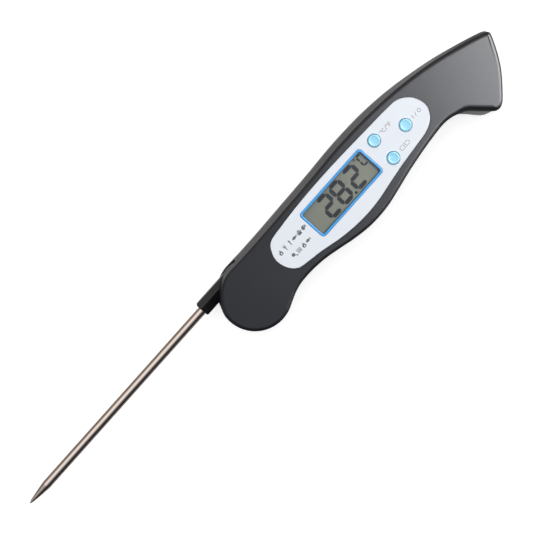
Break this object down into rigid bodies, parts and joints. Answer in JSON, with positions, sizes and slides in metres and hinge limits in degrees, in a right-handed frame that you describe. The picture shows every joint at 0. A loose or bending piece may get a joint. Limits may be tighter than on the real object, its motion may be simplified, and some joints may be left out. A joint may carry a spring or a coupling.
{
  "type": "folding digital meat thermometer",
  "caption": "Folding instant-read kitchen thermometer: a steel probe on a hub swings into the side slot of a curved plastic handle with a display panel and push buttons.",
  "frame": {"origin": "on the fold axis of the probe, at the flat rear face of the magnet that closes the round end of the handle", "axes": "+X along the handle from the fold axis to its tail, with the open probe towards -X; +Y towards the handle's nearly straight back edge, away from the probe slot; +Z out of the display face"},
  "size_m": [0.2643, 0.0396, 0.0187],
  "materials": {
    "casing": "fine satin texture, dark charcoal",
    "hub": "fine satin texture, near black",
    "panel": "smooth white",
    "display_frame": "bright blue",
    "window": "clear acrylic",
    "display": "grey-green liquid crystal cell",
    "white_moulding": "plain",
    "rubber": "soft, dark",
    "board": "green solder mask",
    "black": "plain",
    "steel": "plated",
    "brass": "plated",
    "button": "satin light cyan",
    "magnet": "nickel plated ferrite",
    "probe_steel": "polished stainless steel",
    "lead_red": "plain"
  },
  "bodies": {
    "root": {"front_shell": "casing", "rear_shell": "casing", "face_panel": "panel", "display_frame": "display_frame", "display_window": "window", "display_glass": "display", "display_holder": "white_moulding", "zebra_strip": "rubber", "circuit_board": "board", "chip_cover": "black", "clock_crystal": "steel", "capacitor_a": "brass", "capacitor_b": "brass", "units_switch": "steel", "hold_switch": "steel", "power_switch": "steel", "coin_cell": "steel", "contact_negative": "brass", "contact_positive": "brass", "fridge_magnet": "magnet", "pivot_screw": "steel", "pivot_bush": "brass", "wave_washer": "steel", "case_screw_1": "steel", "case_screw_2": "steel", "case_screw_3": "steel", "board_screw_1": "steel", "board_screw_2": "steel", "board_screw_3": "steel", "board_lead_a": "lead_red", "board_lead_b": "black"},
    "probe": {"probe_hub": "hub", "probe_tube": "probe_steel", "probe_tip": "probe_steel", "thermistor_bead": "black", "sensor_lead_a": "lead_red", "sensor_lead_b": "black"},
    "units_key": {"units_button": "button", "units_plunger": "black"},
    "hold_key": {"hold_button": "button", "hold_plunger": "black"},
    "power_key": {"power_button": "button", "power_plunger": "black"},
    "seal": {"cap_seal": "rubber"},
    "cap": {"battery_cap": "casing"}
  },
  "joints": [
    {"name": "probe_fold", "type": "hinge", "parent": "root", "child": "probe", "pos_m": [0, 0, 0.0092], "axis": [0, 0, 1], "range_deg": [0, 180]},
    {"name": "units_press", "type": "slide", "parent": "root", "child": "units_key", "axis": [0, 0, -1], "range_m": [0, 0.0005], "stiffness_N_per_m": 600, "springref_m": -0.0003},
    {"name": "hold_press", "type": "slide", "parent": "root", "child": "hold_key", "axis": [0, 0, -1], "range_m": [0, 0.0005], "stiffness_N_per_m": 600, "springref_m": -0.0003},
    {"name": "power_press", "type": "slide", "parent": "root", "child": "power_key", "axis": [0, 0, -1], "range_m": [0, 0.0005], "stiffness_N_per_m": 600, "springref_m": -0.0003},
    {"name": "cap_travel", "type": "slide", "parent": "root", "child": "seal", "axis": [0, 0, -1], "range_m": [0, 0.0015]},
    {"name": "cap_turn", "type": "hinge", "parent": "seal", "child": "cap", "pos_m": [0.058, -0.0005, 0], "axis": [0, 0, -1], "range_deg": [0, 541]}
  ],
  "couplings": [
    {"joint": "cap_turn", "follows": "cap_travel", "rad_per_m": 6283.2}
  ]
}
